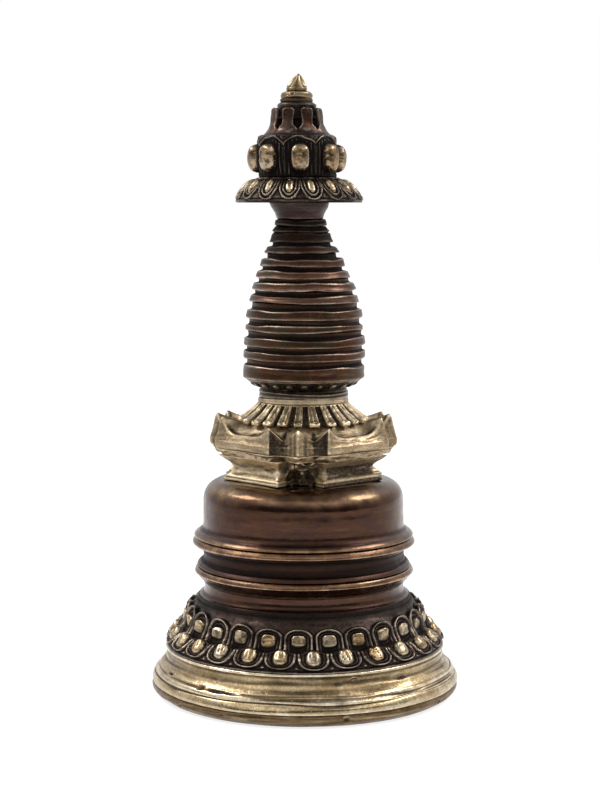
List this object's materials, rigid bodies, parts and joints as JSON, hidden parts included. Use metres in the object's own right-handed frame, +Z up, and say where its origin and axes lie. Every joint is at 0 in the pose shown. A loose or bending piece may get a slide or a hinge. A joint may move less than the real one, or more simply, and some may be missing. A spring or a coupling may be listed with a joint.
{
  "type": "small cast metal stupa",
  "caption": "Small table-top metal stupa: round plinth, double lotus, bell dome, stepped square harmika, ringed spire, petal parasol, lotus bud and pointed jewel.",
  "frame": {"origin": "centre of the foot's underside, level with the surface it stands on", "axes": "+Z up along the stupa's axis, -Y towards the front corner of the stepped square"},
  "size_m": [0.0603, 0.0604, 0.12],
  "materials": {
    "plinth_brass": "worn polished brass with file marks",
    "foot_brass": "browned brass",
    "plate_copper": "dull sheet copper",
    "lotus_bronze": "blackened bronze with bright worn bosses",
    "dome_bronze": "dark brown patinated bronze, satin",
    "band_bronze": "brown patinated bronze with worn edges",
    "harmika_brass": "rough cast brass, dark in the hollows",
    "neck_bronze": "blackened bronze",
    "spire_bronze": "red-brown patinated bronze with worn edges",
    "finial_brass": "polished brass"
  },
  "bodies": {
    "root": {"base_plate": "plate_copper", "foot_band": "foot_brass", "plinth": "plinth_brass", "lower_petals": "lotus_bronze", "upper_petals": "lotus_bronze", "lower_drum": "dome_bronze", "lower_band": "band_bronze", "waist_drum": "dome_bronze", "upper_band": "band_bronze", "dome": "dome_bronze", "harmika_block": "harmika_brass", "harmika_fillet": "harmika_brass", "harmika_cornice": "harmika_brass", "ribbed_skirt": "harmika_brass", "skirt_ring": "harmika_brass", "neck_ring": "neck_bronze", "leaf_collar": "neck_bronze", "spire_ring_01": "spire_bronze", "spire_ring_02": "spire_bronze", "spire_ring_03": "spire_bronze", "spire_ring_04": "spire_bronze", "spire_ring_05": "spire_bronze", "spire_ring_06": "spire_bronze", "spire_ring_07": "spire_bronze", "spire_ring_08": "spire_bronze", "spire_ring_09": "spire_bronze", "spire_ring_10": "spire_bronze", "spire_ring_11": "spire_bronze", "spire_ring_12": "spire_bronze", "spire_ring_13": "spire_bronze", "parasol_collar": "spire_bronze", "parasol": "lotus_bronze", "lotus_bud": "lotus_bronze", "bud_crown": "dome_bronze", "finial_ring": "lotus_bronze", "finial_bead": "finial_brass", "finial_jewel": "finial_brass"}
  },
  "joints": []
}
